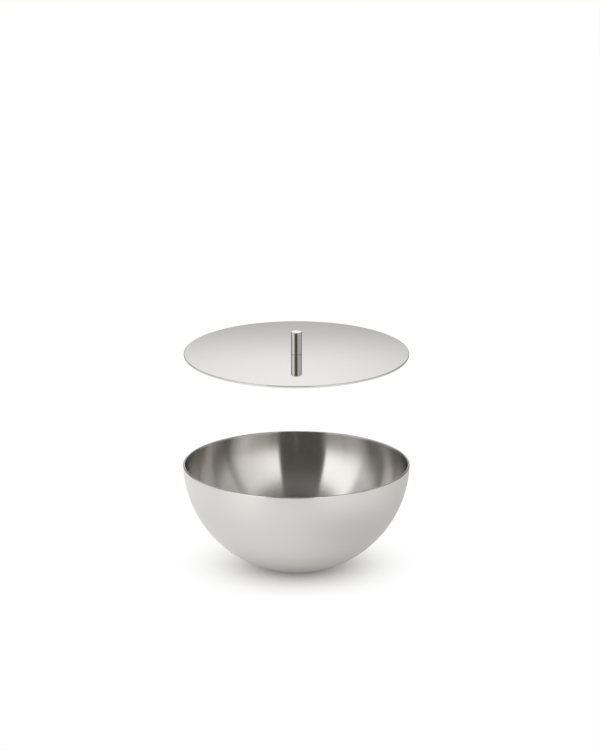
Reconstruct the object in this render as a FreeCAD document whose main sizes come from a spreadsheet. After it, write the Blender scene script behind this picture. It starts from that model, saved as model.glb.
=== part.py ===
"""A small round dish in stainless steel with a lift-off lid, as a parametric FreeCAD document.

The dish is a single-wall pressed bowl, almost a hemisphere, that stands on a narrow ring round a
pushed-up middle. The lid is a flat polished disc as wide as the rim. A flat ring spot-welded under it
drops inside the rim and keeps it on the bowl. Its handle is a plain turned pin, drawn down on the disc
by a small pan-head screw and a washer from below. The lid is drawn lifted straight up off the bowl by
lid_lift.

The frame is in millimetres, +Z up, with the origin on the bowl's axis in the plane that it stands on.
Each piece is a PartDesign body, and its sketches, features and placement read their sizes from the sheet
named Sizes.
"""

import FreeCAD, Part
import math
import os

import Sketcher

# alias, value in millimetres (weld_count is a plain number), what it is
SIZES = [
    ("rim_diameter", 80.0, "outside diameter of the bowl at its rim"),
    ("bowl_height", 37.0, "from the standing plane to the top of the rim"),
    ("base_diameter", 21.0, "outside diameter of the ring that the bowl stands on"),
    ("bowl_wall", 0.8, "sheet thickness of the bowl"),
    ("stand_width", 2.0, "width of the flat ring that the bowl stands on"),
    ("push_up", 0.4, "how far the middle of the base is pushed up"),
    ("push_up_slope", 1.0, "radial width of the slope up to the pushed-up middle"),
    ("rim_round", 0.3, "edge radius at the rim"),
    ("base_round", 1.5, "outside radius where the base turns into the wall"),
    ("lid_lift", 40.1, "gap between the rim and the underside of the lid as drawn"),
    ("lid_inset", 0.3, "how far the edge of the lid lies inside the outside of the rim"),
    ("lid_thickness", 0.7, "sheet thickness of the lid"),
    ("lid_edge_round", 0.15, "edge radius of the lid"),
    ("ring_clearance", 2.2, "radial gap between the locating ring and the wall of the bowl"),
    ("ring_thickness", 0.8, "sheet thickness of the locating ring"),
    ("ring_band", 4.0, "radial width of the locating ring"),
    ("ring_edge_round", 0.3, "edge radius round the outside of the locating ring"),
    ("weld_mark_diameter", 1.6, "diameter of a spot weld's dimple"),
    ("weld_mark_depth", 0.15, "depth of a spot weld's dimple"),
    ("weld_count", 6, "number of spot welds round the locating ring"),
    ("knob_diameter", 3.8, "diameter of the pin handle"),
    ("knob_height", 8.0, "height of the pin handle"),
    ("knob_top_chamfer", 0.2, "chamfer round the top of the pin"),
    ("knob_foot_chamfer", 0.12, "chamfer round the foot of the pin"),
    ("tapped_hole_spare", 1.0, "how far the tapped hole reaches past the end of the screw"),
    ("thread_diameter", 2.0, "outside diameter of the screw thread"),
    ("thread_pitch", 0.4, "pitch of the screw thread"),
    ("thread_depth", 0.2, "depth of a thread groove"),
    ("groove_width", 0.36, "width of a thread groove at the surface of the shank"),
    ("first_groove", 0.6, "height of the middle of the first thread groove above the screw's head"),
    ("thread_clearance", 0.03, "radial gap between the screw thread and the tapped hole"),
    ("screw_length", 5.0, "length of the screw under its head"),
    ("screw_hole_clearance", 0.1, "radial gap between the screw and the holes it passes through"),
    ("head_diameter", 4.0, "diameter of the screw head"),
    ("head_height", 1.6, "height of the screw head"),
    ("head_round", 0.7, "radius round the crown of the screw head"),
    ("recess_length", 2.2, "length of one arm pair of the cross recess"),
    ("recess_width", 0.5, "width of an arm of the cross recess"),
    ("recess_depth", 0.9, "depth of the cross recess"),
    ("washer_diameter", 5.0, "outside diameter of the washer"),
    ("washer_thickness", 0.3, "thickness of the washer"),
]
SIZE = {alias: value for alias, value, _ in SIZES}

# The wall of the bowl is part of a sphere through the rim and through the outside of the standing ring.
RIM_SQUARED = "((Sizes.rim_diameter / 2)^2 + Sizes.bowl_height^2)"
SPHERE_Z = f"(({RIM_SQUARED} - (Sizes.base_diameter / 2)^2) / (2 * Sizes.bowl_height))"
SPHERE_R = f"sqrt((Sizes.base_diameter / 2)^2 + {SPHERE_Z}^2)"
RING_FOOT_Z = f"({SPHERE_Z} - Sizes.bowl_height + Sizes.ring_thickness)"
RING_R = f"(sqrt(({SPHERE_R} - Sizes.bowl_wall)^2 - {RING_FOOT_Z}^2) - Sizes.ring_clearance)"
LID_UNDERSIDE_Z = "(Sizes.bowl_height + Sizes.lid_lift)"
SCREW_HOLE_R = "(Sizes.thread_diameter / 2 + Sizes.screw_hole_clearance)"
SCREW_ABOVE_LID = "(Sizes.screw_length - Sizes.washer_thickness - Sizes.lid_thickness)"

TOUCH = 1e-4  # two positions closer than this, in millimetres, are the same

doc = FreeCAD.newDocument("LiddedDish")


def make_sheet():
    """Writes the driving dimensions to the sheet: one row each, with its value under its alias."""
    sheet = doc.addObject("Spreadsheet::Sheet", "Sizes")
    for row, (alias, value, meaning) in enumerate(SIZES, start=1):
        sheet.set(f"A{row}", meaning)
        sheet.set(f"B{row}", str(value))
        sheet.setAlias(f"B{row}", alias)
    doc.recompute()


def new_body(name, height=None):
    """A body of that name, raised to the height that the expression gives."""
    body = doc.addObject("PartDesign::Body", name)
    body.Label = name
    if height:
        body.setExpression("Placement.Base.z", height)
    return body


def new_sketch(body, name, role, raised=None):
    """A sketch on one of the body's own origin planes, raised along its normal by the expression."""
    plane = next(p for p in body.Origin.OriginFeatures if p.Role == role)
    sketch = body.newObject("Sketcher::SketchObject", name)
    sketch.AttachmentSupport = [(plane, "")]
    sketch.MapMode = "FlatFace"
    if raised:
        sketch.setExpression("AttachmentOffset.Base.z", raised)
    return sketch


def drive(sketch, kind, where, start, expression):
    """Adds a dimension bound to the expression; start is its value before the first solve."""
    index = sketch.addConstraint(Sketcher.Constraint(kind, *where, start))
    sketch.setExpression(f"Constraints[{index}]", expression)


def add_circle(sketch, expression):
    """A circle round the sketch's origin with the radius that the expression gives."""
    circle = sketch.addGeometry(Part.Circle(FreeCAD.Vector(), FreeCAD.Vector(0, 0, 1), 1.0))
    sketch.addConstraint(Sketcher.Constraint("Coincident", circle, 3, -1, 1))
    drive(sketch, "Radius", (circle,), 1.0, expression)


def add_polygon(sketch, corners):
    """A closed outline of straight lines. Each corner is its start position and its two expressions."""
    points = [FreeCAD.Vector(x, y, 0) for (x, y), _ in corners]
    lines = [sketch.addGeometry(Part.LineSegment(a, b)) for a, b in zip(points, points[1:] + points[:1])]
    for line, follower in zip(lines, lines[1:] + lines[:1]):
        sketch.addConstraint(Sketcher.Constraint("Coincident", line, 2, follower, 1))
    for line, (start, expressions) in zip(lines, corners):
        for kind, value, expression in zip(("DistanceX", "DistanceY"), start, expressions):
            drive(sketch, kind, (-1, 1, line, 1), value, expression)


def pad(body, name, sketch, length):
    feature = body.newObject("PartDesign::Pad", name)
    feature.Profile = sketch
    feature.setExpression("Length", length)
    return feature


def revolve(body, name, sketch):
    """Turns the sketch once round its own upright axis."""
    feature = body.newObject("PartDesign::Revolution", name)
    feature.Profile = sketch
    feature.ReferenceAxis = (sketch, ["V_Axis"])
    feature.Angle = 360
    return feature


def pocket(body, name, sketch, depth):
    """Cuts the sketch's outline into the body, along the sketch's normal."""
    before = body.Tip.Shape.Volume
    feature = body.newObject("PartDesign::Pocket", name)
    feature.Profile = sketch
    feature.Reversed = True
    feature.setExpression("Length", depth)
    doc.recompute()
    if feature.Shape.Volume >= before:
        raise RuntimeError(f"{name} cut nothing")
    return feature


def circles_at(shape, height, radius):
    """The names of the shape's round edges of that radius at that height on the upright axis."""
    names = []
    for number, edge in enumerate(shape.Edges, start=1):
        curve = edge.Curve
        if not isinstance(curve, Part.Circle):
            continue
        if abs(curve.Radius - radius) < TOUCH and abs(curve.Center.z - height) < TOUCH:
            names.append(f"Edge{number}")
    if not names:
        raise RuntimeError(f"no round edge of radius {radius} at height {height}")
    return names


def dress(body, kind, name, edges, expression):
    """A fillet or chamfer along edges of the body's last feature, sized by the expression."""
    base = body.Tip
    feature = body.newObject(f"PartDesign::{kind}", name)
    feature.Base = (base, edges)
    feature.setExpression("Radius" if kind == "Fillet" else "Size", expression)
    doc.recompute()
    return feature


def make_bowl():
    """The pressed bowl: a shell of even thickness between two spheres round one centre."""
    rim_r = SIZE["rim_diameter"] / 2
    base_r = SIZE["base_diameter"] / 2
    top = SIZE["bowl_height"]
    wall = SIZE["bowl_wall"]
    sphere_z = (rim_r**2 + top**2 - base_r**2) / (2 * top)
    outer_r = math.hypot(base_r, sphere_z)
    inner_r = outer_r - wall
    slope_r = base_r - SIZE["stand_width"]
    middle_r = slope_r - SIZE["push_up_slope"]
    centre = FreeCAD.Vector(0, sphere_z, 0)
    normal = FreeCAD.Vector(0, 0, 1)

    def point(across, up):
        return FreeCAD.Vector(across, up, 0)

    def line(start, end):
        return Part.LineSegment(start, end)

    def arc(radius, low, high):
        """The right-hand arc of the circle round the common centre, from one height up to another."""
        angles = [math.asin((height - sphere_z) / radius) for height in (low, high)]
        return Part.ArcOfCircle(Part.Circle(centre, normal, radius), *angles)

    inner_rim_r = math.sqrt(inner_r**2 - (top - sphere_z) ** 2)
    inner_base_r = math.sqrt(inner_r**2 - (wall - sphere_z) ** 2)
    low, high = SIZE["push_up"], SIZE["push_up"] + wall

    body = new_body("bowl")
    sketch = new_sketch(body, "bowl_section", "XZ_Plane")
    under_middle = sketch.addGeometry(line(point(0, low), point(middle_r, low)))
    under_slope = sketch.addGeometry(line(point(middle_r, low), point(slope_r, 0)))
    standing_ring = sketch.addGeometry(line(point(slope_r, 0), point(base_r, 0)))
    outside = sketch.addGeometry(arc(outer_r, 0, top))
    rim = sketch.addGeometry(line(point(rim_r, top), point(inner_rim_r, top)))
    inside = sketch.addGeometry(arc(inner_r, wall, top))
    floor_ring = sketch.addGeometry(line(point(inner_base_r, wall), point(slope_r, wall)))
    floor_slope = sketch.addGeometry(line(point(slope_r, wall), point(middle_r, high)))
    floor_middle = sketch.addGeometry(line(point(middle_r, high), point(0, high)))
    axis = sketch.addGeometry(line(point(0, high), point(0, low)))

    joins = [
        (under_middle, 2, under_slope, 1),
        (under_slope, 2, standing_ring, 1),
        (standing_ring, 2, outside, 1),
        (outside, 2, rim, 1),
        (rim, 2, inside, 2),
        (inside, 1, floor_ring, 1),
        (floor_ring, 2, floor_slope, 1),
        (floor_slope, 2, floor_middle, 1),
        (floor_middle, 2, axis, 1),
        (axis, 2, under_middle, 1),
        (inside, 3, outside, 3),
    ]
    for join in joins:
        sketch.addConstraint(Sketcher.Constraint("Coincident", *join))
    for level in (under_middle, standing_ring, rim, floor_ring, floor_middle):
        sketch.addConstraint(Sketcher.Constraint("Horizontal", level))
    sketch.addConstraint(Sketcher.Constraint("PointOnObject", outside, 3, -2))
    sketch.addConstraint(Sketcher.Constraint("PointOnObject", axis, 1, -2))
    sketch.addConstraint(Sketcher.Constraint("PointOnObject", axis, 2, -2))
    sketch.addConstraint(Sketcher.Constraint("PointOnObject", standing_ring, 2, -1))
    sketch.addConstraint(Sketcher.Constraint("Vertical", standing_ring, 1, floor_ring, 2))
    sketch.addConstraint(Sketcher.Constraint("Vertical", under_middle, 2, floor_middle, 1))
    origin = (-1, 1)
    drive(sketch, "DistanceX", (*origin, standing_ring, 2), base_r, "Sizes.base_diameter / 2")
    drive(sketch, "DistanceX", (*origin, outside, 2), rim_r, "Sizes.rim_diameter / 2")
    drive(sketch, "DistanceY", (*origin, outside, 2), top, "Sizes.bowl_height")
    drive(sketch, "Radius", (inside,), inner_r, f"{SPHERE_R} - Sizes.bowl_wall")
    drive(sketch, "DistanceY", (*origin, inside, 1), wall, "Sizes.bowl_wall")
    drive(sketch, "DistanceX", (standing_ring, 1, standing_ring, 2), SIZE["stand_width"], "Sizes.stand_width")
    drive(sketch, "DistanceX", (under_slope, 1, under_slope, 2), SIZE["push_up_slope"], "Sizes.push_up_slope")
    drive(sketch, "DistanceY", (*origin, under_middle, 2), low, "Sizes.push_up")
    drive(sketch, "DistanceY", (under_middle, 2, floor_middle, 1), wall, "Sizes.bowl_wall")

    shell = revolve(body, "bowl_shell", sketch)
    doc.recompute()
    rim_edges = circles_at(shell.Shape, top, rim_r) + circles_at(shell.Shape, top, inner_rim_r)
    rounded = dress(body, "Fillet", "rim_rounding", rim_edges, "Sizes.rim_round")
    dress(body, "Fillet", "base_rounding", circles_at(rounded.Shape, 0, base_r), "Sizes.base_round")


def make_lid_disc():
    """The flat disc of the lid, with the hole that the screw passes through."""
    body = new_body("lid_disc", LID_UNDERSIDE_Z)
    radius = SIZE["rim_diameter"] / 2 - SIZE["lid_inset"]
    outline = new_sketch(body, "disc_outline", "XY_Plane")
    add_circle(outline, "Sizes.rim_diameter / 2 - Sizes.lid_inset")
    disc = pad(body, "disc", outline, "Sizes.lid_thickness")
    doc.recompute()
    edges = circles_at(disc.Shape, 0, radius) + circles_at(disc.Shape, SIZE["lid_thickness"], radius)
    dress(body, "Fillet", "disc_edge", edges, "Sizes.lid_edge_round")
    hole = new_sketch(body, "screw_hole_outline", "XY_Plane")
    add_circle(hole, SCREW_HOLE_R)
    pocket(body, "screw_hole", hole, "Sizes.lid_thickness")


def make_locating_ring():
    """The flat ring under the lid that drops inside the rim, with the dimples of its spot welds."""
    body = new_body("locating_ring", f"{LID_UNDERSIDE_Z} - Sizes.ring_thickness")
    outline = new_sketch(body, "ring_outline", "XY_Plane")
    add_circle(outline, RING_R)
    add_circle(outline, f"{RING_R} - Sizes.ring_band")
    ring = pad(body, "ring", outline, "Sizes.ring_thickness")
    doc.recompute()
    outer_edge = circles_at(ring.Shape, 0, ring.Shape.BoundBox.XMax)
    dress(body, "Fillet", "ring_edge", outer_edge, "Sizes.ring_edge_round")

    dimple = new_sketch(body, "weld_mark_outline", "XY_Plane")
    dimple_r, dimple_x = SIZE["weld_mark_diameter"] / 2, SIZE["rim_diameter"] / 2 - SIZE["ring_band"]
    up = FreeCAD.Vector(0, 0, 1)
    circle = dimple.addGeometry(Part.Circle(FreeCAD.Vector(dimple_x, 0, 0), up, dimple_r))
    dimple.addConstraint(Sketcher.Constraint("PointOnObject", circle, 3, -1))
    drive(dimple, "Radius", (circle,), dimple_r, "Sizes.weld_mark_diameter / 2")
    drive(dimple, "DistanceX", (-1, 1, circle, 3), dimple_x, f"{RING_R} - Sizes.ring_band / 2")
    mark = pocket(body, "weld_mark", dimple, "Sizes.weld_mark_depth")
    marks = body.newObject("PartDesign::PolarPattern", "weld_marks")
    marks.Originals = [mark]
    marks.Axis = (dimple, ["N_Axis"])
    marks.Angle = 360
    marks.setExpression("Occurrences", "Sizes.weld_count")
    body.Tip = marks
    doc.recompute()


def make_knob():
    """The pin handle: a plain turned pin, chamfered at both ends, with a blind tapped hole in its foot."""
    body = new_body("knob", f"{LID_UNDERSIDE_Z} + Sizes.lid_thickness")
    outline = new_sketch(body, "pin_outline", "XY_Plane")
    add_circle(outline, "Sizes.knob_diameter / 2")
    pin = pad(body, "pin", outline, "Sizes.knob_height")
    doc.recompute()
    radius = SIZE["knob_diameter"] / 2
    crown_edges = circles_at(pin.Shape, SIZE["knob_height"], radius)
    crowned = dress(body, "Chamfer", "crown_chamfer", crown_edges, "Sizes.knob_top_chamfer")
    dress(body, "Chamfer", "foot_chamfer", circles_at(crowned.Shape, 0, radius), "Sizes.knob_foot_chamfer")
    hole = new_sketch(body, "tapped_hole_outline", "XY_Plane")
    add_circle(hole, "Sizes.thread_diameter / 2 + Sizes.thread_clearance")
    pocket(body, "tapped_hole", hole, f"{SCREW_ABOVE_LID} + Sizes.tapped_hole_spare")


def make_knob_washer():
    """The flat washer between the screw's head and the underside of the lid."""
    body = new_body("knob_washer", f"{LID_UNDERSIDE_Z} - Sizes.washer_thickness")
    outline = new_sketch(body, "washer_outline", "XY_Plane")
    add_circle(outline, "Sizes.washer_diameter / 2")
    add_circle(outline, SCREW_HOLE_R)
    pad(body, "washer", outline, "Sizes.washer_thickness")


def make_knob_screw():
    """The screw: a pan head with a cross recess below its bearing face, and a threaded shank above it.

    The thread is a row of grooves one pitch apart round the shank, and not a helix.
    """
    body = new_body("knob_screw", f"{LID_UNDERSIDE_Z} - Sizes.washer_thickness")
    section = new_sketch(body, "screw_section", "XZ_Plane")
    head_r, head_top = SIZE["head_diameter"] / 2, -SIZE["head_height"]
    shank_r, length = SIZE["thread_diameter"] / 2, SIZE["screw_length"]
    corners = [
        ((0, head_top), ("0", "-Sizes.head_height")),
        ((head_r, head_top), ("Sizes.head_diameter / 2", "-Sizes.head_height")),
        ((head_r, 0), ("Sizes.head_diameter / 2", "0")),
        ((shank_r, 0), ("Sizes.thread_diameter / 2", "0")),
        ((shank_r, length), ("Sizes.thread_diameter / 2", "Sizes.screw_length")),
        ((0, length), ("0", "Sizes.screw_length")),
    ]
    add_polygon(section, corners)
    blank = revolve(body, "screw_blank", section)
    doc.recompute()
    crown_edges = circles_at(blank.Shape, head_top, head_r)
    crown = dress(body, "Fillet", "head_crown", crown_edges, "Sizes.head_round")
    dress(body, "Chamfer", "screw_tip", circles_at(crown.Shape, length, shank_r), "Sizes.thread_depth")
    cut_cross_recess(body)
    cut_thread(body)


def cut_cross_recess(body):
    """Two crossed slots in the crown of the head."""
    slot = new_sketch(body, "recess_outline", "XY_Plane", raised="-Sizes.head_height")
    half_length, half_width = SIZE["recess_length"] / 2, SIZE["recess_width"] / 2
    corners = []
    for x, y in ((-1, -1), (1, -1), (1, 1), (-1, 1)):
        start = (x * half_length, y * half_width)
        corners.append((start, (f"{x} * Sizes.recess_length / 2", f"{y} * Sizes.recess_width / 2")))
    add_polygon(slot, corners)
    arm = pocket(body, "recess_arm", slot, "Sizes.recess_depth")
    cross = body.newObject("PartDesign::PolarPattern", "recess_cross")
    cross.Originals = [arm]
    cross.Axis = (slot, ["N_Axis"])
    cross.Angle = 90
    cross.Occurrences = 2
    body.Tip = cross
    doc.recompute()


def cut_thread(body):
    """Grooves round the shank, one pitch apart, up to the tip. Each is a V that opens past the surface."""
    cut = new_sketch(body, "groove_section", "XZ_Plane")
    shank_r, depth = SIZE["thread_diameter"] / 2, SIZE["thread_depth"]
    middle, width = SIZE["first_groove"], SIZE["groove_width"]
    root = "Sizes.thread_diameter / 2 - Sizes.thread_depth"
    outside = "Sizes.thread_diameter / 2 + Sizes.thread_depth"
    corners = [
        ((shank_r - depth, middle), (root, "Sizes.first_groove")),
        ((shank_r + depth, middle - width), (outside, "Sizes.first_groove - Sizes.groove_width")),
        ((shank_r + depth, middle + width), (outside, "Sizes.first_groove + Sizes.groove_width")),
    ]
    add_polygon(cut, corners)
    before = body.Tip.Shape.Volume
    groove = body.newObject("PartDesign::Groove", "thread_groove")
    groove.Profile = cut
    groove.ReferenceAxis = (cut, ["V_Axis"])
    groove.Angle = 360
    doc.recompute()
    if groove.Shape.Volume >= before:
        raise RuntimeError("thread_groove cut nothing")

    count = "floor(Sizes.screw_length / Sizes.thread_pitch - 1)"
    turns = body.newObject("PartDesign::LinearPattern", "thread_turns")
    turns.Originals = [groove]
    turns.Direction = (cut, ["V_Axis"])
    turns.setExpression("Occurrences", count)
    turns.setExpression("Length", f"({count} - 1) * Sizes.thread_pitch")
    body.Tip = turns
    doc.recompute()


make_sheet()
make_bowl()
make_lid_disc()
make_locating_ring()
make_knob()
make_knob_washer()
make_knob_screw()
doc.recompute()

for item in doc.Objects:
    if "Invalid" in item.State or "Error" in item.State:
        raise RuntimeError(f"{item.Name} is in state {item.State}")

os.makedirs("parts", exist_ok=True)
for body in doc.findObjects("PartDesign::Body"):
    shape = body.Shape
    if shape.isNull() or not shape.isValid() or not shape.Solids:
        raise RuntimeError(f"{body.Label} has no valid solid")
    box = shape.optimalBoundingBox(False, False)
    heights = f"z {box.ZMin:.2f} to {box.ZMax:.2f}"
    print(f"{body.Label}: {shape.Volume:.2f} mm3, {heights}, width {box.XLength:.2f}")
    shape.exportStep(f"parts/{body.Label}.step")
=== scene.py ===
"""The looks of a small lidded dish in stainless steel: a satin bowl, brushed inside, and a polished flat lid.

Everything is in metres, with +Z up and the origin under the bowl. The bowl, the disc of the lid and its pin
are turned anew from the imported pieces' boxes, so that their reflections run smoothly. The camera looks along
+Y.
"""

import math

import bpy
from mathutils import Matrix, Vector


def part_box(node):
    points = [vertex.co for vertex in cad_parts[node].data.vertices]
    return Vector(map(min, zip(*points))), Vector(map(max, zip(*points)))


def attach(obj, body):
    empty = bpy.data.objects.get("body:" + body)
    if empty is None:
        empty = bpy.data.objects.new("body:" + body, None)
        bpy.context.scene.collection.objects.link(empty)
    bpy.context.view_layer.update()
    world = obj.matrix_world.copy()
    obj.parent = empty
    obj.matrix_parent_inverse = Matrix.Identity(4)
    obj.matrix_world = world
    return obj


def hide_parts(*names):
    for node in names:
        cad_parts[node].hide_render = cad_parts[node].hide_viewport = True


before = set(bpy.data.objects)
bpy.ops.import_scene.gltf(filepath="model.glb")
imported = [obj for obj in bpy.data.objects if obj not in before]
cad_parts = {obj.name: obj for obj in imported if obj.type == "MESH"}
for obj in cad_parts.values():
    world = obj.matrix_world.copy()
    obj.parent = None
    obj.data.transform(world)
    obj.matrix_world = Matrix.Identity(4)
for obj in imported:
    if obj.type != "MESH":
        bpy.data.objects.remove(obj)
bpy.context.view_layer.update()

MM = 0.001

# The bowl: a shell between two spheres round one centre, on a narrow ring round a pushed-up middle.
WALL = 0.8 * MM
STAND_R = 10.5 * MM
STAND_WIDTH = 2.0 * MM
PUSH_UP = 0.4 * MM
PUSH_UP_SLOPE = 1.0 * MM
RIM_ROUND = 0.3 * MM
STAND_ROUND = 1.5 * MM

# The lid and its pin. The disc has a hole for the screw.
LID_HOLE_R = 1.1 * MM
LID_EDGE_ROUND = 0.15 * MM
LID_CLEAR = 0.01 * MM  # keeps the closed lid's face off the rim's, which would lie in one plane
PIN_TOP_CHAMFER = 0.2 * MM
PIN_FOOT_CHAMFER = 0.12 * MM

SAME = 0.000001 * MM  # two points nearer than this are one
TURNS = 192  # steps once round a turned piece
WALL_STEPS, RIM_STEPS, EDGE_STEPS = 56, 6, 5  # along the arcs of the wall, the rim, and the stand and lid
SUPPORT = 0.05 * MM  # how close to a rounded edge a flat keeps its own shading
SHARP_FROM = 35  # degrees between faces that count as an edge on a turned piece
SHARP_FROM_CAD = 25  # and on a carried-over CAD node

# The marks in the steel, and the wider patches that are mixed in with them
MARKS_ALONG, MARKS_ACROSS = 120.0, 9000.0  # how closely the marks lie along and across their run
PATCHES = 90.0
MARKS_SHARE = 0.85
MARKS_DARKEN = 0.96
ACROSS_THE_MARKS = 0.25  # the anisotropic turn that draws highlights out across marks round the axis


# ---------------------------------------------------------------------------------------------- turned pieces


def arc(centre, start, end, steps):
    """Points from start to end round centre, the short way, with both ends. Each is (radius, height)."""
    (cx, cz), (sx, sz), (ex, ez) = centre, start, end
    low = math.atan2(sz - cz, sx - cx)
    turn = (math.atan2(ez - cz, ex - cx) - low + math.pi) % (2 * math.pi) - math.pi
    reach = math.hypot(sx - cx, sz - cz)
    angles = [low + turn * i / steps for i in range(steps + 1)]
    return [(cx + reach * math.cos(a), cz + reach * math.sin(a)) for a in angles]


def lathe(name, stretches, body, materials):
    """A closed piece turned round the Z axis. Each stretch is its points, on from the last one's, and its
    finish, which is a place in materials."""
    outline, finishes = [], []
    for points, finish in stretches:
        for point in points:
            if outline and math.dist(point, outline[-1]) < SAME:
                continue
            outline.append(point)
            finishes.append(finish)
    closed = outline[0][0] > SAME
    vertices, rings = [], []
    for radius, height in outline:
        steps = TURNS if radius > SAME else 1
        rings.append(range(len(vertices), len(vertices) + steps))
        for step in range(steps):
            angle = 2 * math.pi * step / TURNS
            vertices.append((radius * math.cos(angle), radius * math.sin(angle), height))

    faces, face_finishes = [], []
    pairs = [(i, i + 1) for i in range(len(outline) - 1)]
    if closed:
        pairs.append((len(outline) - 1, 0))
    for low, high in pairs:
        for step in range(TURNS):
            after = (step + 1) % TURNS
            ring = [rings[low][step % len(rings[low])], rings[low][after % len(rings[low])]]
            ring += [rings[high][after % len(rings[high])], rings[high][step % len(rings[high])]]
            faces.append(list(dict.fromkeys(ring)))
            face_finishes.append(finishes[high])

    mesh = bpy.data.meshes.new(name)
    mesh.from_pydata(vertices, [], faces)
    for material in materials:
        mesh.materials.append(material)
    mesh.polygons.foreach_set("material_index", face_finishes)
    mesh.shade_smooth()
    mesh.set_sharp_from_angle(angle=math.radians(SHARP_FROM))
    mesh.update()
    piece = bpy.data.objects.new(name, mesh)
    bpy.context.scene.collection.objects.link(piece)
    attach(piece, body)
    return piece


def rounded_corner(sphere_z, sphere_r, plane_z, fillet, side):
    """Where a fillet between a sphere and a level plane touches them: its centre, and its two points.

    The fillet lies inside the sphere for side 1 and outside it for side -1. It lies above the plane if fillet
    is positive and below it if fillet is negative.
    """
    centre_z = plane_z + fillet
    reach = sphere_r - side * abs(fillet)
    centre_r = math.sqrt(reach**2 - (centre_z - sphere_z) ** 2)
    scale = sphere_r / reach
    on_sphere = (centre_r * scale, sphere_z + (centre_z - sphere_z) * scale)
    return (centre_r, centre_z), (centre_r, plane_z), on_sphere


# ------------------------------------------------------------------------------------------------- materials


class Nodes:
    """A short way to add and join nodes in one material."""

    def __init__(self, name):
        self.material = bpy.data.materials.new(name)
        self.material.use_nodes = True
        self.tree = self.material.node_tree
        self.tree.nodes.clear()

    def add(self, kind, **settings):
        node = self.tree.nodes.new(kind)
        for key, value in settings.items():
            setattr(node, key, value)
        return node

    def link(self, source, target):
        self.tree.links.new(source, target)

    def math(self, operation, first, second):
        node = self.add("ShaderNodeMath", operation=operation)
        for socket, value in zip(node.inputs, (first, second)):
            if isinstance(value, (int, float)):
                socket.default_value = value
            else:
                self.link(value, socket)
        return node.outputs[0]

    def reach(self, x, y):
        """The distance from the Z axis."""
        squares = self.math("ADD", self.math("MULTIPLY", x, x), self.math("MULTIPLY", y, y))
        return self.math("SQRT", squares, 0.0)

    def ramp(self, source, low, high):
        """Maps 0..1 to low..high."""
        node = self.add("ShaderNodeMapRange")
        for name, value in (("To Min", low), ("To Max", high)):
            if isinstance(value, (int, float)):
                node.inputs[name].default_value = value
            else:
                self.link(value, node.inputs[name])
        self.link(source, node.inputs["Value"])
        return node.outputs[0]

    def fade(self, source, start, end):
        """Rises smoothly from 0 at start to 1 at end, whichever of the two is the greater."""
        node = self.add("ShaderNodeMapRange", interpolation_type="SMOOTHSTEP")
        low, high = sorted((start, end))
        node.inputs["From Min"].default_value = low
        node.inputs["From Max"].default_value = high
        node.inputs["To Min"].default_value = 0.0 if start < end else 1.0
        node.inputs["To Max"].default_value = 1.0 if start < end else 0.0
        self.link(source, node.inputs["Value"])
        return node.outputs[0]

    def noise(self, vector, scale, detail):
        node = self.add("ShaderNodeTexNoise")
        node.inputs["Scale"].default_value = scale
        node.inputs["Detail"].default_value = detail
        self.link(vector, node.inputs["Vector"])
        return node.outputs["Fac"]

    def turned_coordinates(self, along, across):
        """Coordinates for marks that run round the Z axis: slow round the axis, quick across the marks."""
        place = self.add("ShaderNodeTexCoord").outputs["Object"]
        split = self.add("ShaderNodeSeparateXYZ")
        self.link(place, split.inputs[0])
        x, y, z = split.outputs
        radius = self.reach(x, y)
        join = self.add("ShaderNodeCombineXYZ")
        self.link(self.math("MULTIPLY", x, along), join.inputs[0])
        self.link(self.math("MULTIPLY", y, along), join.inputs[1])
        self.link(self.math("MULTIPLY", self.math("SUBTRACT", radius, z), across), join.inputs[2])
        return join.outputs[0]


def steel(name, colour, roughness, grain, anisotropy=0.0):
    """Stainless steel. grain is how far the marks move the roughness either way. anisotropy draws the
    highlights out across marks that run round the axis."""
    nodes = Nodes(name)
    shader = nodes.add("ShaderNodeBsdfPrincipled")
    shader.inputs["Metallic"].default_value = 1.0
    shader.inputs["Base Color"].default_value = (*colour, 1.0)
    shader.inputs["Anisotropic"].default_value = anisotropy
    shader.inputs["Anisotropic Rotation"].default_value = ACROSS_THE_MARKS if anisotropy else 0.0
    output = nodes.add("ShaderNodeOutputMaterial")
    nodes.link(shader.outputs[0], output.inputs["Surface"])
    if anisotropy:
        tangent = nodes.add("ShaderNodeTangent", direction_type="RADIAL", axis="Z")
        nodes.link(tangent.outputs[0], shader.inputs["Tangent"])

    marks = nodes.noise(nodes.turned_coordinates(MARKS_ALONG, MARKS_ACROSS), 1.0, detail=3.0)
    patches = nodes.noise(nodes.add("ShaderNodeTexCoord").outputs["Object"], PATCHES, detail=1.0)
    patches = nodes.math("MULTIPLY", patches, 1.0 - MARKS_SHARE)
    mixed = nodes.math("ADD", nodes.math("MULTIPLY", marks, MARKS_SHARE), patches)
    nodes.link(nodes.ramp(mixed, roughness - grain, roughness + grain), shader.inputs["Roughness"])
    tint = nodes.add("ShaderNodeMix", data_type="RGBA")
    darker = [c * MARKS_DARKEN for c in colour]
    tint.inputs["A"].default_value = (*darker, 1.0)
    tint.inputs["B"].default_value = (*colour, 1.0)
    nodes.link(mixed, tint.inputs["Factor"])
    nodes.link(tint.outputs["Result"], shader.inputs["Base Color"])
    return nodes.material


# --------------------------------------------------------------------------------------------------- the pieces


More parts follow.
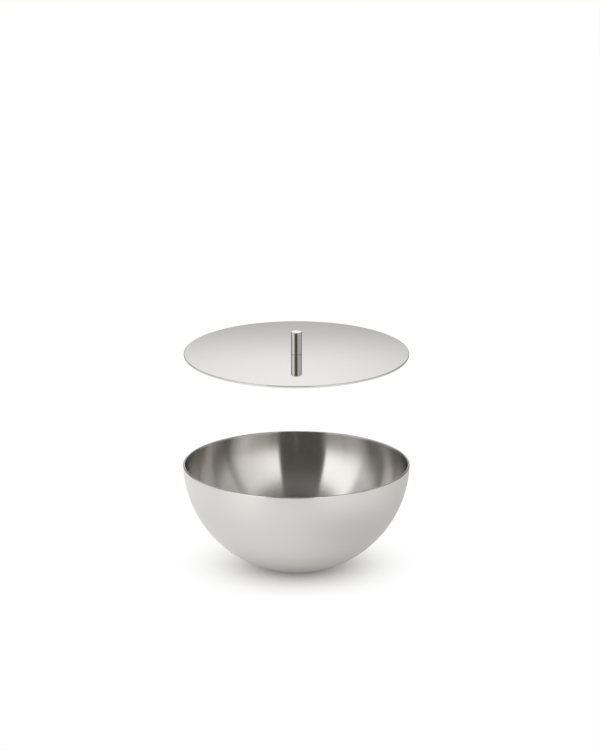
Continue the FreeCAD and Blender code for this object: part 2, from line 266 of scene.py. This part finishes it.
def make_bowl():
    """The bowl, satin outside, brushed round the inside and polished along the rim."""
    low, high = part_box("bowl")
    rim_r, rim_z = high[0], high[2]
    sphere_z = (rim_r**2 + rim_z**2 - STAND_R**2) / (2 * rim_z)
    outer_r = math.hypot(STAND_R, sphere_z)
    inner_r = outer_r - WALL
    centre = (0.0, sphere_z)
    slope_r = STAND_R - STAND_WIDTH
    middle_r = slope_r - PUSH_UP_SLOPE

    foot_centre, foot_flat, foot_side = rounded_corner(sphere_z, outer_r, 0.0, STAND_ROUND, 1)
    out_centre, out_flat, out_side = rounded_corner(sphere_z, outer_r, rim_z, -RIM_ROUND, 1)
    in_centre, in_flat, in_side = rounded_corner(sphere_z, inner_r, rim_z, -RIM_ROUND, -1)
    floor_r = math.sqrt(inner_r**2 - (WALL - sphere_z) ** 2)

    satin, brushed, polished = range(3)
    under = [(0.0, PUSH_UP), (middle_r * 0.5, PUSH_UP), (middle_r, PUSH_UP), (slope_r, 0.0)]
    under += [(foot_flat[0] - SUPPORT, 0.0), foot_flat]
    floor = [(floor_r, WALL), (slope_r, WALL), (middle_r, PUSH_UP + WALL), (middle_r * 0.5, PUSH_UP + WALL)]
    stretches = [
        (under, satin),
        (arc(foot_centre, foot_flat, foot_side, EDGE_STEPS), satin),
        (arc(centre, foot_side, out_side, WALL_STEPS), satin),
        (arc(out_centre, out_side, out_flat, RIM_STEPS), polished),
        (arc(in_centre, in_flat, in_side, RIM_STEPS), polished),
        (arc(centre, in_side, (floor_r, WALL), WALL_STEPS), brushed),
        (floor + [(0.0, PUSH_UP + WALL)], brushed),
    ]
    materials = [
        steel("bowl_outside_satin", (0.83, 0.81, 0.775), 0.33, grain=0.04, anisotropy=0.8),
        steel("bowl_inside_brushed", (0.80, 0.78, 0.745), 0.18, grain=0.03, anisotropy=0.93),
        steel("bowl_rim_polished", (0.93, 0.92, 0.91), 0.10, grain=0.02),
    ]
    bowl = lathe("bowl_shell", stretches, "dish", materials)
    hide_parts("bowl")


def make_lid():
    """The polished disc."""
    low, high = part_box("lid_disc")
    radius, under, top, fillet = high[0], low[2] + LID_CLEAR, high[2], LID_EDGE_ROUND
    flat_r = radius - fillet
    polished = 0
    stretches = [
        ([(LID_HOLE_R, under), (flat_r * 0.5, under), (flat_r - SUPPORT, under), (flat_r, under)], polished),
        (arc((flat_r, under + fillet), (flat_r, under), (radius, under + fillet), EDGE_STEPS), polished),
        (arc((flat_r, top - fillet), (radius, top - fillet), (flat_r, top), EDGE_STEPS), polished),
        ([(flat_r - SUPPORT, top), (flat_r * 0.5, top), (LID_HOLE_R, top)], polished),
    ]
    material = steel("lid_polished", (0.70, 0.692, 0.684), 0.05, grain=0.012)
    lid = lathe("lid_plate", stretches, "lid", [material])
    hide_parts("lid_disc")
    lid.visible_diffuse = False  # it was photographed apart, so it casts no shade on the floor


def make_pin():
    """The turned pin that the lid is lifted by."""
    low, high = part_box("knob")
    radius, foot, crown = high[0], low[2], high[2]
    polished = 0
    stretches = [
        ([(0.0, foot), (radius - PIN_FOOT_CHAMFER, foot), (radius, foot + PIN_FOOT_CHAMFER)], polished),
        ([(radius, crown - PIN_TOP_CHAMFER), (radius - PIN_TOP_CHAMFER, crown), (0.0, crown)], polished),
    ]
    material = steel("pin_polished", (0.90, 0.89, 0.87), 0.07, grain=0.02)
    pin = lathe("pin_handle", stretches, "lid", [material])
    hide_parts("knob")


def dress_cad_nodes():
    """The ring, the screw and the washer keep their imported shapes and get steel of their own."""
    finishes = {
        "locating_ring": steel("ring_mill_finish", (0.66, 0.65, 0.64), 0.30, grain=0.06),
        "knob_screw": steel("screw_bright", (0.62, 0.61, 0.60), 0.22, grain=0.05),
        "knob_washer": steel("washer_tumbled", (0.64, 0.63, 0.62), 0.34, grain=0.06),
    }
    for node, material in finishes.items():
        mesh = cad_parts[node].data
        mesh.materials.clear()
        mesh.materials.append(material)
        mesh.polygons.foreach_set("material_index", [0] * len(mesh.polygons))
        mesh.shade_smooth()
        mesh.set_sharp_from_angle(angle=math.radians(SHARP_FROM_CAD))


# ------------------------------------------------------------------------------------------------------ studio

# The floor, as shares of plain white. Distances are from the axis, and angles are in degrees round from the
# camera, to the right.
FLOOR_HALF = 12.0
FLOOR_WHITE = 0.92
FLOOR_GLOW = 0.10
FLOOR_CLEARING = (0.014, 0.044)  # from where to where the shadow gives way to plain white
FLOOR_CLEARING_IN_METAL = 0.006  # how much nearer it does so where the metal mirrors it
FLOOR_PAINTED_SHADE_TWICE_SEEN = 0.3  # painted shade: its share where one metal surface mirrors it in another
FLOOR_PAINTED_SHADE_NEAR = (0.82, 0.60)  # painted shade: how light the floor is in the metal close by, at its left and at its right
FLOOR_PAINTED_SHADE_NEAR_TURNS = (-0.01, 0.04)  # from where to where it goes from the one to the other
FLOOR_PAINTED_LIGHT_REACH = (0.05, 0.11)  # from close by to further out
FLOOR_PAINTED_LIGHT = (0.93, 0.68)  # painted light and shade: how light it is in the metal further out, in front and at the right
FLOOR_PAINTED_LIGHT_TURNS = (60, 120)
FLOOR_PAINTED_POOLS = ((-44, 38, 0.12), (38, 28, 0.07))  # painted pools of light, lighter patches in the metal: an angle, a half width and a gain each

# The sky, the dark room and the cards
SKY_LEVEL = 0.98
SEEN_ONCE = 1.5  # a glossy depth below this is a first reflection
SOFTBOX_TWICE_SEEN = (0.25, 1.0)  # at the edge near the camera, and at the far edge
DOME_R = 1.6
ROOM_WARMTH = (1.0, 0.96, 0.88)
ROOM_LEVELS = (0.085, 0.32)  # low down and overhead
ROOM_RISE = (0.4, 0.95)  # the heights that these hold at, as shares of the dome's radius
CARD_STEPS, CARD_ROWS = 24, 8

# The card that the lid mirrors. Its heights are in parts of the band that the disc covers, up from the foot of
# the band, and its distances to the side are in parts of the disc's spread.
LID_CARD_Y = 1.3
LID_CARD_LEVELS = (0.54, 1.145)
LID_CARD_RISE = (-0.04, 0.68)  # from where to where it goes from the one level to the other
LID_CARD_WHITE_FOOT = (-0.4, -0.8)  # from where to where it turns white again
LID_CARD_FOOT_GAIN = 0.6
LID_CARD_PAST_BAND = (3.0, 0.8)  # how far the card goes on below and above the band
LID_CARD_HALF_WIDTH = 1.6
LID_CARD_LIGHTEST = -0.15  # where it is lightest from side to side
LID_CARD_SIDE_LOSS = 0.12

CAMERA_DISTANCE = 5.88
CAMERA_PITCH = 16.9
CAMERA_AIM_ABOVE_RIM = 32.7 * MM
CAMERA_AIM_RIGHT = 1.27 * MM
CAMERA_LENS, CAMERA_SENSOR, CAMERA_CLIP_END = 800.0, 36.0, 100.0


def make_floor():
    """A white floor that keeps the object's shadow close in and turns to a plain white glow further out. The
    glow is for the camera and the metal alone. The lid was photographed apart from the bowl, so the floor has
    painted shade, and is dim, where the bowl would see it mirrored in the lid's underside. In the metal, the
    shadow gives way nearer to the object, and the floor has painted shade that is dimmer towards the right and
    painted pools of light further out."""
    bpy.ops.mesh.primitive_plane_add(size=2 * FLOOR_HALF)
    floor = bpy.context.object
    floor.name = "floor"
    nodes = Nodes("floor_white")
    path = nodes.add("ShaderNodeLightPath").outputs
    seen = nodes.math("MAXIMUM", path["Is Camera Ray"], path["Is Glossy Ray"])
    place = nodes.add("ShaderNodeSeparateXYZ")
    nodes.link(nodes.add("ShaderNodeTexCoord").outputs["Object"], place.inputs[0])
    x, y, _ = place.outputs
    reach = nodes.reach(x, y)
    # painted shade on the floor, seen only in the metal: darker at the right close by
    near = nodes.ramp(nodes.fade(x, *FLOOR_PAINTED_SHADE_NEAR_TURNS), *FLOOR_PAINTED_SHADE_NEAR)
    # painted light and shade in the metal: the painted shade close by gives way to the painted light further
    # out
    shade = nodes.ramp(nodes.fade(reach, *FLOOR_PAINTED_LIGHT_REACH), near, floor_painted_light(nodes, x, y))
    # painted shade: the floor is dimmer where the metal mirrors it a second time
    once = nodes.math("LESS_THAN", path["Glossy Depth"], SEEN_ONCE)
    mirrored = nodes.math("MULTIPLY", shade, nodes.ramp(once, FLOOR_PAINTED_SHADE_TWICE_SEEN, 1.0))
    keep = nodes.ramp(path["Is Glossy Ray"], 1.0, mirrored)
    white = nodes.add("ShaderNodeBsdfDiffuse")
    nodes.link(nodes.math("MULTIPLY", keep, FLOOR_WHITE), white.inputs["Color"])
    glow = nodes.add("ShaderNodeEmission")
    nodes.link(nodes.math("MULTIPLY", nodes.math("MULTIPLY", seen, keep), FLOOR_GLOW), glow.inputs["Strength"])
    lit = nodes.add("ShaderNodeAddShader")
    nodes.link(white.outputs[0], lit.inputs[0])
    nodes.link(glow.outputs[0], lit.inputs[1])
    plain = nodes.add("ShaderNodeEmission")
    nodes.link(keep, plain.inputs["Strength"])
    mix = nodes.add("ShaderNodeMixShader")
    nearer = nodes.math("MULTIPLY", path["Is Glossy Ray"], FLOOR_CLEARING_IN_METAL)
    cleared = nodes.fade(nodes.math("ADD", reach, nearer), *FLOOR_CLEARING)
    nodes.link(nodes.math("MULTIPLY", cleared, seen), mix.inputs[0])
    nodes.link(lit.outputs[0], mix.inputs[1])
    nodes.link(plain.outputs[0], mix.inputs[2])
    output = nodes.add("ShaderNodeOutputMaterial")
    nodes.link(mix.outputs[0], output.inputs["Surface"])
    floor.data.materials.append(nodes.material)


def floor_painted_light(nodes, x, y):
    """The painted light and shade of the floor in the metal further out: lightest below the softboxes, dimmest
    at the right.
    """
    azimuth = nodes.math("ARCTAN2", x, nodes.math("MULTIPLY", y, -1.0))
    start, end = (math.radians(turn) for turn in FLOOR_PAINTED_LIGHT_TURNS)
    painted_light = nodes.ramp(nodes.fade(azimuth, start, end), *FLOOR_PAINTED_LIGHT)
    for centre, width, gain in FLOOR_PAINTED_POOLS:
        offset = nodes.math("ABSOLUTE", nodes.math("SUBTRACT", azimuth, math.radians(centre)), 0.0)
        patch = nodes.fade(offset, math.radians(width), 0.0)
        painted_light = nodes.math("ADD", painted_light, nodes.math("MULTIPLY", patch, gain))
    return painted_light


def make_world():
    """An even white sky."""
    world = bpy.data.worlds.new("white_room")
    world.use_nodes = True
    back = world.node_tree.nodes["Background"]
    back.inputs["Color"].default_value = (1.0, 1.0, 1.0, 1.0)
    back.inputs["Strength"].default_value = SKY_LEVEL
    world.cycles.sampling_method = "NONE"
    bpy.context.scene.world = world


def direction(azimuth, height):
    """The unit vector at an angle round from the camera, to the right, and an angle up from the floor."""
    across, up = math.radians(azimuth), math.radians(height)
    return Vector((math.sin(across) * math.cos(up), -math.cos(across) * math.cos(up), math.sin(up)))


def card(name, azimuths, heights, reach, levels, feathers, warmth=(1.0, 1.0, 1.0), twice_seen=(1.0, 1.0)):
    """A curved panel round the object that only the metal sees. Its brightness runs between levels from its
    left to its right edge. It fades out over feathers, in parts of its width and height, at the left, at the
    right and at both ends. twice_seen is its share, at its left and right edges, where one metal surface
    mirrors it in another."""
    mesh = bpy.data.meshes.new(name)
    points, faces = [], []
    for row in range(CARD_ROWS + 1):
        up = heights[0] + (heights[1] - heights[0]) * row / CARD_ROWS
        for step in range(CARD_STEPS + 1):
            across = azimuths[0] + (azimuths[1] - azimuths[0]) * step / CARD_STEPS
            points.append(direction(across, up) * reach)
    width = CARD_STEPS + 1
    for row in range(CARD_ROWS):
        for step in range(CARD_STEPS):
            first = row * width + step
            faces.append((first, first + 1, first + width + 1, first + width))
    mesh.from_pydata(points, [], faces)
    places = mesh.uv_layers.new(name="place")
    for loop in mesh.loops:
        row, step = divmod(loop.vertex_index, width)
        places.data[loop.index].uv = (step / CARD_STEPS, row / CARD_ROWS)
    panel = bpy.data.objects.new(name, mesh)
    bpy.context.scene.collection.objects.link(panel)

    nodes = Nodes(name)
    split = nodes.add("ShaderNodeSeparateXYZ")
    nodes.link(nodes.add("ShaderNodeUVMap", uv_map="place").outputs[0], split.inputs[0])
    across, up, _ = split.outputs
    glow = nodes.add("ShaderNodeEmission")
    glow.inputs["Color"].default_value = (*warmth, 1.0)
    once = nodes.math("LESS_THAN", nodes.add("ShaderNodeLightPath").outputs["Glossy Depth"], SEEN_ONCE)
    share = nodes.ramp(once, nodes.ramp(across, *twice_seen), 1.0)
    level = nodes.math("MULTIPLY", nodes.ramp(across, *levels), share)
    nodes.link(level, glow.inputs["Strength"])
    left, right, ends = feathers
    edge = nodes.fade(across, 0.0, left)
    edge = nodes.math("MULTIPLY", edge, nodes.fade(across, 1.0, 1.0 - right))
    edge = nodes.math("MULTIPLY", edge, nodes.fade(up, 0.0, ends))
    edge = nodes.math("MULTIPLY", edge, nodes.fade(up, 1.0, 1.0 - ends))
    clear = nodes.add("ShaderNodeBsdfTransparent")
    mix = nodes.add("ShaderNodeMixShader")
    nodes.link(edge, mix.inputs[0])
    nodes.link(clear.outputs[0], mix.inputs[1])
    nodes.link(glow.outputs[0], mix.inputs[2])
    output = nodes.add("ShaderNodeOutputMaterial")
    nodes.link(mix.outputs[0], output.inputs["Surface"])
    mesh.materials.append(nodes.material)
    show_to_metal_only(panel)


def show_to_metal_only(thing):
    """Hides a stage card from the camera and from the floor's light."""
    thing.visible_camera = False
    thing.visible_diffuse = False
    thing.visible_shadow = False
    thing.visible_transmission = False


def make_studio():
    """A dark room with a large softbox on each side of the camera. Past each softbox, further round, are a low
    and a high panel, both dimmer. A graded card behind the object is for the lid and the rim."""
    dark_room()
    at_left, at_right = SOFTBOX_TWICE_SEEN[::-1], SOFTBOX_TWICE_SEEN
    card("left_softbox", (-86, -31), (6, 64), 1.4, (1.15, 1.4), (0.3, 0.02, 0.06), twice_seen=at_left)
    card("left_panel", (-128, -74), (6, 24), 1.42, (0.75, 0.75), (0.15, 0.15, 0.1))
    card("left_high", (-144, -74), (20, 62), 1.43, (0.45, 0.55), (0.08, 0.15, 0.08))
    card("right_softbox", (18, 84), (6, 64), 1.4, (1.3, 0.55), (0.02, 0.3, 0.06), (1.0, 0.99, 0.97), at_right)
    card("right_panel", (74, 128), (6, 24), 1.42, (0.6, 0.6), (0.15, 0.15, 0.1))
    card("right_high", (74, 124), (20, 62), 1.43, (0.5, 0.4), (0.15, 0.08, 0.08))
    lid_card()


def dark_room():
    """A dim warm dome round everything, a little lighter overhead and open below."""
    bpy.ops.mesh.primitive_uv_sphere_add(segments=64, ring_count=32, radius=DOME_R)
    dome = bpy.context.object
    dome.name = "dark_room"
    nodes = Nodes("dark_room")
    glow = nodes.add("ShaderNodeEmission")
    glow.inputs["Color"].default_value = (*ROOM_WARMTH, 1.0)
    place = nodes.add("ShaderNodeSeparateXYZ")
    nodes.link(nodes.add("ShaderNodeTexCoord").outputs["Object"], place.inputs[0])
    height = nodes.math("DIVIDE", place.outputs[2], DOME_R)
    nodes.link(nodes.ramp(nodes.fade(height, *ROOM_RISE), *ROOM_LEVELS), glow.inputs["Strength"])
    clear = nodes.add("ShaderNodeBsdfTransparent")
    mix = nodes.add("ShaderNodeMixShader")
    nodes.link(nodes.math("GREATER_THAN", place.outputs[2], 0.0), mix.inputs[0])
    nodes.link(clear.outputs[0], mix.inputs[1])
    nodes.link(glow.outputs[0], mix.inputs[2])
    output = nodes.add("ShaderNodeOutputMaterial")
    nodes.link(mix.outputs[0], output.inputs["Surface"])
    dome.data.materials.append(nodes.material)
    show_to_metal_only(dome)


def lid_card():
    """An upright card behind that the lid mirrors: grey at the foot of the band that the disc covers and white
    above, a little darker to the sides. It turns white again below the band, for the rim of the bowl."""
    low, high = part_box("lid_disc")
    camera = camera_place()
    ends = []
    for edge in (high[1], low[1]):
        climb = (camera.z - high[2]) / (edge - camera.y)
        ends.append(high[2] + (LID_CARD_Y - edge) * climb)
    band = ends[1] - ends[0]
    spread = high[0] * (LID_CARD_Y - camera.y) / -camera.y
    below, above = LID_CARD_PAST_BAND
    bottom, top = ends[0] - below * band, ends[1] + above * band
    half = LID_CARD_HALF_WIDTH * spread
    mesh = bpy.data.meshes.new("lid_card")
    corners = [(x, LID_CARD_Y, z) for x, z in ((-half, bottom), (half, bottom), (half, top), (-half, top))]
    mesh.from_pydata(corners, [], [(0, 1, 2, 3)])
    panel = bpy.data.objects.new("lid_card", mesh)
    bpy.context.scene.collection.objects.link(panel)

    nodes = Nodes("lid_card")
    place = nodes.add("ShaderNodeSeparateXYZ")
    nodes.link(nodes.add("ShaderNodeTexCoord").outputs["Object"], place.inputs[0])
    rise = nodes.fade(place.outputs[2], *(ends[0] + part * band for part in LID_CARD_RISE))
    level = nodes.ramp(rise, *LID_CARD_LEVELS)
    foot = nodes.fade(place.outputs[2], *(ends[0] + part * band for part in LID_CARD_WHITE_FOOT))
    level = nodes.math("ADD", level, nodes.math("MULTIPLY", foot, LID_CARD_FOOT_GAIN))
    aside = nodes.math("SUBTRACT", place.outputs[0], LID_CARD_LIGHTEST * spread)
    aside = nodes.math("DIVIDE", aside, spread)
    loss = nodes.math("MULTIPLY", nodes.math("MULTIPLY", aside, aside), LID_CARD_SIDE_LOSS)
    level = nodes.math("MULTIPLY", level, nodes.math("SUBTRACT", 1.0, loss))
    glow = nodes.add("ShaderNodeEmission")
    nodes.link(level, glow.inputs["Strength"])
    output = nodes.add("ShaderNodeOutputMaterial")
    nodes.link(glow.outputs[0], output.inputs["Surface"])
    mesh.materials.append(nodes.material)
    show_to_metal_only(panel)


def camera_aim():
    """The point between the bowl and the lid that the camera looks at."""
    return Vector((CAMERA_AIM_RIGHT, 0.0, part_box("bowl")[1][2] + CAMERA_AIM_ABOVE_RIM))


def camera_place():
    return camera_aim() + direction(0.0, CAMERA_PITCH) * CAMERA_DISTANCE


def make_camera():
    """A long lens from in front and a little above, aimed between the bowl and the lid."""
    data = bpy.data.cameras.new("camera")
    data.lens = CAMERA_LENS
    data.sensor_width = CAMERA_SENSOR
    data.clip_end = CAMERA_CLIP_END
    camera = bpy.data.objects.new("camera", data)
    bpy.context.scene.collection.objects.link(camera)
    camera.location = camera_place()
    camera.rotation_euler = (camera_aim() - camera.location).to_track_quat("-Z", "Y").to_euler()
    bpy.context.scene.camera = camera


bpy.context.scene.view_settings.view_transform = "Standard"
make_camera()
make_world()
make_floor()
make_studio()
make_bowl()
make_lid()
make_pin()
dress_cad_nodes()
